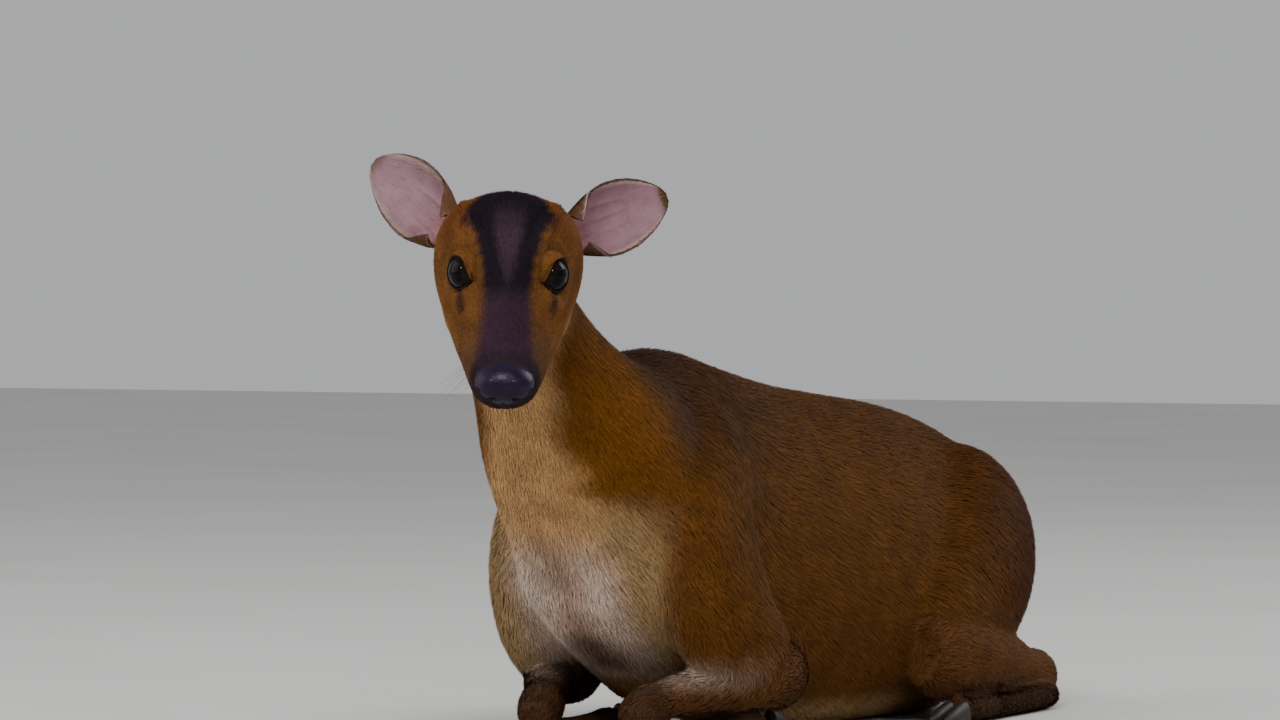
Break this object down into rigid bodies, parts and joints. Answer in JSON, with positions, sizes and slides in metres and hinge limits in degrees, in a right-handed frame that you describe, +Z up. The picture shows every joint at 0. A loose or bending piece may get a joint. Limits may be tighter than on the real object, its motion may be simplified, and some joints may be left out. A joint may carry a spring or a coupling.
{
  "type": "resting muntjac deer",
  "caption": "Life-size muntjac deer lying on its folded legs, head up and turned to one side, with cupped ears, a long tapered face, cloven hooves and a hanging tail.",
  "frame": {"origin": "middle of the bounding box's base, on the floor", "axes": "-Y the way the body faces, +X the animal's left, +Z up"},
  "size_m": [0.2376, 0.7382, 0.3612],
  "materials": {
    "coat": "short dense hair",
    "ear_skin": "thin bare skin with sparse hair",
    "eye": "wet gloss",
    "nose": "moist, finely pebbled",
    "hoof": "smooth horn"
  },
  "bodies": {
    "root": {"ear_left": "ear_skin", "ear_right": "ear_skin", "eye_left": "eye", "eye_right": "eye", "foreleg_left_cannon": "coat", "foreleg_left_forearm": "coat", "foreleg_left_hoof_inner": "hoof", "foreleg_left_hoof_outer": "hoof", "foreleg_left_upper": "coat", "foreleg_right_cannon": "coat", "foreleg_right_forearm": "coat", "foreleg_right_hoof_inner": "hoof", "foreleg_right_hoof_outer": "hoof", "foreleg_right_upper": "coat", "head": "coat", "hindleg_left_cannon": "coat", "hindleg_left_hoof_inner": "hoof", "hindleg_left_hoof_outer": "hoof", "hindleg_left_shank": "coat", "hindleg_left_thigh": "coat", "hindleg_right_cannon": "coat", "hindleg_right_hoof_inner": "hoof", "hindleg_right_hoof_outer": "hoof", "hindleg_right_shank": "coat", "hindleg_right_thigh": "coat", "neck": "coat", "nose_pad": "nose", "tail": "coat", "torso": "coat"}
  },
  "joints": []
}
